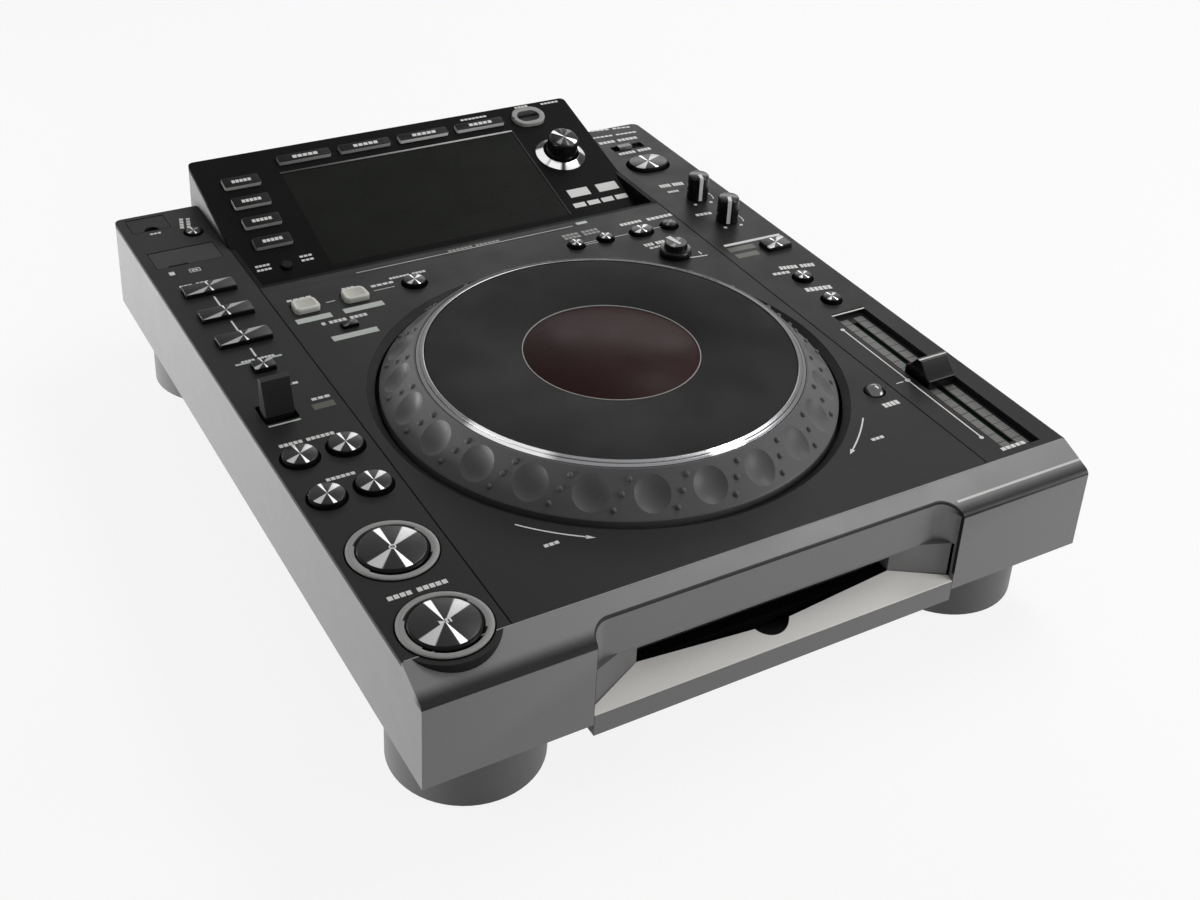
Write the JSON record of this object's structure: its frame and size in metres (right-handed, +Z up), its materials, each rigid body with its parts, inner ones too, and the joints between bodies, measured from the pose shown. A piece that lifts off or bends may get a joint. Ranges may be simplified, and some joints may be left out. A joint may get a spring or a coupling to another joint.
{
  "type": "tabletop disc player",
  "caption": "Tabletop player with a front disc slot, a large jog wheel, a tilted screen, a tempo slider and sprung keys, on round feet.",
  "frame": {"origin": "centre of the footprint, at the level of the soles of the feet", "axes": "+X to the right of someone who stands in front of it, +Y from the front to the rear, +Z up"},
  "size_m": [0.32, 0.4054, 0.0999],
  "materials": {
    "case_grey": "fine texture, satin",
    "chassis_grey": "matt",
    "foot_grey": "matt",
    "screw_black": "blackened",
    "panel_black": "satin",
    "block_black": "semi gloss",
    "screen_dark": "gloss",
    "lip_grey": "satin",
    "drive_steel": "plain",
    "board_green": "solder mask",
    "port_dark": "satin",
    "ring_grey": "metallic satin",
    "plate_black": "satin, silver trim",
    "key_metal": "spun",
    "key_dark": "satin",
    "key_cream": "satin",
    "key_light": "translucent sides",
    "knob_black": "gloss",
    "ball_silver": "polished",
    "door_grey": "satin"
  },
  "bodies": {
    "player": {"housing": "case_grey", "bottom_chassis": "chassis_grey", "feet": "foot_grey", "case_screws": "screw_black", "deck_left": "panel_black", "deck_centre": "panel_black", "deck_right": "panel_black", "display_housing": "block_black", "display_screen": "screen_dark", "slot_bezel": "lip_grey", "drive_frame": "drive_steel", "circuit_boards": "board_green", "rear_ports": "port_dark", "jog_base": "panel_black"},
    "jog_ring": {"jog_ring": "ring_grey"},
    "jog_plate": {"jog_plate": "plate_black"},
    "play_button": {"play_button": "key_metal"},
    "cue_button": {"cue_button": "key_metal"},
    "track_back_button": {"track_back_button": "key_metal"},
    "track_forward_button": {"track_forward_button": "key_metal"},
    "search_back_button": {"search_back_button": "key_metal"},
    "search_forward_button": {"search_forward_button": "key_metal"},
    "hot_cue_button_1": {"hot_cue_button_1": "key_dark"},
    "hot_cue_button_2": {"hot_cue_button_2": "key_dark"},
    "hot_cue_button_3": {"hot_cue_button_3": "key_dark"},
    "call_mode_button": {"call_mode_button": "key_dark"},
    "direction_lever": {"direction_lever": "key_dark"},
    "usb_stop_button": {"usb_stop_button": "key_metal"},
    "usb_cover": {"usb_cover": "door_grey"},
    "card_door": {"card_door": "door_grey"},
    "loop_in_button": {"loop_in_button": "key_cream"},
    "loop_out_button": {"loop_out_button": "key_cream"},
    "beat_loop_button": {"beat_loop_button": "key_dark"},
    "reloop_button": {"reloop_button": "key_metal"},
    "call_back_button": {"call_back_button": "key_metal"},
    "call_forward_button": {"call_forward_button": "key_metal"},
    "delete_button": {"delete_button": "key_metal"},
    "memory_button": {"memory_button": "key_metal"},
    "jog_adjust_knob": {"jog_adjust_knob": "knob_black"},
    "tempo_reset_button": {"tempo_reset_button": "ball_silver"},
    "eject_button": {"eject_button": "key_metal"},
    "eject_lock_switch": {"eject_lock_switch": "knob_black"},
    "touch_brake_knob": {"touch_brake_knob": "knob_black"},
    "release_start_knob": {"release_start_knob": "knob_black"},
    "jog_mode_button": {"jog_mode_button": "key_dark"},
    "tempo_range_button": {"tempo_range_button": "key_metal"},
    "master_tempo_button": {"master_tempo_button": "key_metal"},
    "tempo_slider": {"tempo_slider": "knob_black"},
    "source_key_1": {"source_key_1": "key_light"},
    "source_key_2": {"source_key_2": "key_light"},
    "source_key_3": {"source_key_3": "key_light"},
    "source_key_4": {"source_key_4": "key_light"},
    "menu_key_1": {"menu_key_1": "key_light"},
    "menu_key_2": {"menu_key_2": "key_light"},
    "menu_key_3": {"menu_key_3": "key_light"},
    "menu_key_4": {"menu_key_4": "key_light"},
    "back_button": {"back_button": "key_light"},
    "time_mode_button": {"time_mode_button": "key_dark"},
    "rotary_selector": {"rotary_selector": "knob_black"},
    "power_switch": {"power_switch": "port_dark"}
  },
  "joints": [
    {"name": "play_button_press", "type": "slide", "parent": "player", "child": "play_button", "axis": [0, 0, -1], "range_m": [0, 0.0007], "stiffness_N_per_m": 500, "springref_m": -0.001},
    {"name": "cue_button_press", "type": "slide", "parent": "player", "child": "cue_button", "axis": [0, 0, -1], "range_m": [0, 0.0007], "stiffness_N_per_m": 500, "springref_m": -0.001},
    {"name": "track_back_button_press", "type": "slide", "parent": "player", "child": "track_back_button", "axis": [0, 0, -1], "range_m": [0, 0.0007], "stiffness_N_per_m": 500, "springref_m": -0.001},
    {"name": "track_forward_button_press", "type": "slide", "parent": "player", "child": "track_forward_button", "axis": [0, 0, -1], "range_m": [0, 0.0007], "stiffness_N_per_m": 500, "springref_m": -0.001},
    {"name": "search_back_button_press", "type": "slide", "parent": "player", "child": "search_back_button", "axis": [0, 0, -1], "range_m": [0, 0.0007], "stiffness_N_per_m": 500, "springref_m": -0.001},
    {"name": "search_forward_button_press", "type": "slide", "parent": "player", "child": "search_forward_button", "axis": [0, 0, -1], "range_m": [0, 0.0007], "stiffness_N_per_m": 500, "springref_m": -0.001},
    {"name": "hot_cue_button_1_press", "type": "slide", "parent": "player", "child": "hot_cue_button_1", "axis": [0, 0, -1], "range_m": [0, 0.0007], "stiffness_N_per_m": 500, "springref_m": -0.001},
    {"name": "hot_cue_button_2_press", "type": "slide", "parent": "player", "child": "hot_cue_button_2", "axis": [0, 0, -1], "range_m": [0, 0.0007], "stiffness_N_per_m": 500, "springref_m": -0.001},
    {"name": "hot_cue_button_3_press", "type": "slide", "parent": "player", "child": "hot_cue_button_3", "axis": [0, 0, -1], "range_m": [0, 0.0007], "stiffness_N_per_m": 500, "springref_m": -0.001},
    {"name": "call_mode_button_press", "type": "slide", "parent": "player", "child": "call_mode_button", "axis": [0, 0, -1], "range_m": [0, 0.0007], "stiffness_N_per_m": 500, "springref_m": -0.001},
    {"name": "usb_stop_button_press", "type": "slide", "parent": "player", "child": "usb_stop_button", "axis": [0, 0, -1], "range_m": [0, 0.0007], "stiffness_N_per_m": 500, "springref_m": -0.001},
    {"name": "loop_in_button_press", "type": "slide", "parent": "player", "child": "loop_in_button", "axis": [0, 0, -1], "range_m": [0, 0.0007], "stiffness_N_per_m": 500, "springref_m": -0.001},
    {"name": "loop_out_button_press", "type": "slide", "parent": "player", "child": "loop_out_button", "axis": [0, 0, -1], "range_m": [0, 0.0007], "stiffness_N_per_m": 500, "springref_m": -0.001},
    {"name": "beat_loop_button_press", "type": "slide", "parent": "player", "child": "beat_loop_button", "axis": [0, 0, -1], "range_m": [0, 0.0007], "stiffness_N_per_m": 500, "springref_m": -0.001},
    {"name": "reloop_button_press", "type": "slide", "parent": "player", "child": "reloop_button", "axis": [0, 0, -1], "range_m": [0, 0.0007], "stiffness_N_per_m": 500, "springref_m": -0.001},
    {"name": "call_back_button_press", "type": "slide", "parent": "player", "child": "call_back_button", "axis": [0, 0, -1], "range_m": [0, 0.0007], "stiffness_N_per_m": 500, "springref_m": -0.001},
    {"name": "call_forward_button_press", "type": "slide", "parent": "player", "child": "call_forward_button", "axis": [0, 0, -1], "range_m": [0, 0.0007], "stiffness_N_per_m": 500, "springref_m": -0.001},
    {"name": "delete_button_press", "type": "slide", "parent": "player", "child": "delete_button", "axis": [0, 0, -1], "range_m": [0, 0.0007], "stiffness_N_per_m": 500, "springref_m": -0.001},
    {"name": "memory_button_press", "type": "slide", "parent": "player", "child": "memory_button", "axis": [0, 0, -1], "range_m": [0, 0.0007], "stiffness_N_per_m": 500, "springref_m": -0.001},
    {"name": "tempo_reset_button_press", "type": "slide", "parent": "player", "child": "tempo_reset_button", "axis": [0, 0, -1], "range_m": [0, 0.0007], "stiffness_N_per_m": 500, "springref_m": -0.001},
    {"name": "eject_button_press", "type": "slide", "parent": "player", "child": "eject_button", "axis": [0, 0, -1], "range_m": [0, 0.0007], "stiffness_N_per_m": 500, "springref_m": -0.001},
    {"name": "jog_mode_button_press", "type": "slide", "parent": "player", "child": "jog_mode_button", "axis": [0, 0, -1], "range_m": [0, 0.0007], "stiffness_N_per_m": 500, "springref_m": -0.001},
    {"name": "tempo_range_button_press", "type": "slide", "parent": "player", "child": "tempo_range_button", "axis": [0, 0, -1], "range_m": [0, 0.0007], "stiffness_N_per_m": 500, "springref_m": -0.001},
    {"name": "master_tempo_button_press", "type": "slide", "parent": "player", "child": "master_tempo_button", "axis": [0, 0, -1], "range_m": [0, 0.0007], "stiffness_N_per_m": 500, "springref_m": -0.001},
    {"name": "source_key_1_press", "type": "slide", "parent": "player", "child": "source_key_1", "axis": [0, 0.2689, -0.9632], "range_m": [0, 0.0007], "stiffness_N_per_m": 500, "springref_m": -0.001},
    {"name": "source_key_2_press", "type": "slide", "parent": "player", "child": "source_key_2", "axis": [0, 0.2689, -0.9632], "range_m": [0, 0.0007], "stiffness_N_per_m": 500, "springref_m": -0.001},
    {"name": "source_key_3_press", "type": "slide", "parent": "player", "child": "source_key_3", "axis": [0, 0.2689, -0.9632], "range_m": [0, 0.0007], "stiffness_N_per_m": 500, "springref_m": -0.001},
    {"name": "source_key_4_press", "type": "slide", "parent": "player", "child": "source_key_4", "axis": [0, 0.2689, -0.9632], "range_m": [0, 0.0007], "stiffness_N_per_m": 500, "springref_m": -0.001},
    {"name": "menu_key_1_press", "type": "slide", "parent": "player", "child": "menu_key_1", "axis": [0, 0.2689, -0.9632], "range_m": [0, 0.0007], "stiffness_N_per_m": 500, "springref_m": -0.001},
    {"name": "menu_key_2_press", "type": "slide", "parent": "player", "child": "menu_key_2", "axis": [0, 0.2689, -0.9632], "range_m": [0, 0.0007], "stiffness_N_per_m": 500, "springref_m": -0.001},
    {"name": "menu_key_3_press", "type": "slide", "parent": "player", "child": "menu_key_3", "axis": [0, 0.2689, -0.9632], "range_m": [0, 0.0007], "stiffness_N_per_m": 500, "springref_m": -0.001},
    {"name": "menu_key_4_press", "type": "slide", "parent": "player", "child": "menu_key_4", "axis": [0, 0.2689, -0.9632], "range_m": [0, 0.0007], "stiffness_N_per_m": 500, "springref_m": -0.001},
    {"name": "back_button_press", "type": "slide", "parent": "player", "child": "back_button", "axis": [0, 0.2689, -0.9632], "range_m": [0, 0.0007], "stiffness_N_per_m": 500, "springref_m": -0.001},
    {"name": "time_mode_button_press", "type": "slide", "parent": "player", "child": "time_mode_button", "axis": [0, 0.2689, -0.9632], "range_m": [0, 0.0007], "stiffness_N_per_m": 500, "springref_m": -0.001},
    {"name": "jog_spin", "type": "hinge", "parent": "player", "child": "jog_ring", "pos_m": [0, -0.0565, 0.0785], "axis": [0, 0, 1], "continuous": true},
    {"name": "jog_touch", "type": "slide", "parent": "jog_ring", "child": "jog_plate", "axis": [0, 0, -1], "range_m": [0, 0.0004], "stiffness_N_per_m": 8000, "springref_m": -0.0006},
    {"name": "selector_turn", "type": "hinge", "parent": "player", "child": "rotary_selector", "pos_m": [0.089, 0.15618, 0.08485], "axis": [0, -0.2689, 0.9632], "continuous": true},
    {"name": "touch_brake_knob_turn", "type": "hinge", "parent": "player", "child": "touch_brake_knob", "pos_m": [0.13915, 0.08645, 0.0785], "axis": [0, 0, 1], "range_deg": [-140, 140]},
    {"name": "release_start_knob_turn", "type": "hinge", "parent": "player", "child": "release_start_knob", "pos_m": [0.13915, 0.05615, 0.0785], "axis": [0, 0, 1], "range_deg": [-140, 140]},
    {"name": "jog_adjust_knob_turn", "type": "hinge", "parent": "player", "child": "jog_adjust_knob", "pos_m": [0.0925, 0.03495, 0.0785], "axis": [0, 0, 1], "range_deg": [-140, 140]},
    {"name": "tempo_slide", "type": "slide", "parent": "player", "child": "tempo_slider", "axis": [0, 1, 0], "range_m": [-0.05, 0.05]},
    {"name": "eject_lock_slide", "type": "slide", "parent": "player", "child": "eject_lock_switch", "axis": [1, 0, 0], "range_m": [0, 0.005]},
    {"name": "direction_tilt", "type": "hinge", "parent": "player", "child": "direction_lever", "pos_m": [-0.14475, -0.01615, 0.0735], "axis": [1, 0, 0], "range_deg": [-12, 12]},
    {"name": "usb_cover_open", "type": "hinge", "parent": "player", "child": "usb_cover", "pos_m": [-0.14495, 0.18555, 0.0777], "axis": [-1, 0, 0], "range_deg": [0, 100]},
    {"name": "card_door_open", "type": "hinge", "parent": "player", "child": "card_door", "pos_m": [-0.13775, 0.14595, 0.0777], "axis": [-1, 0, 0], "range_deg": [0, 100]},
    {"name": "power_rocker", "type": "hinge", "parent": "player", "child": "power_switch", "pos_m": [0.058, 0.18275, 0.048], "axis": [1, 0, 0], "range_deg": [0, 16]}
  ]
}
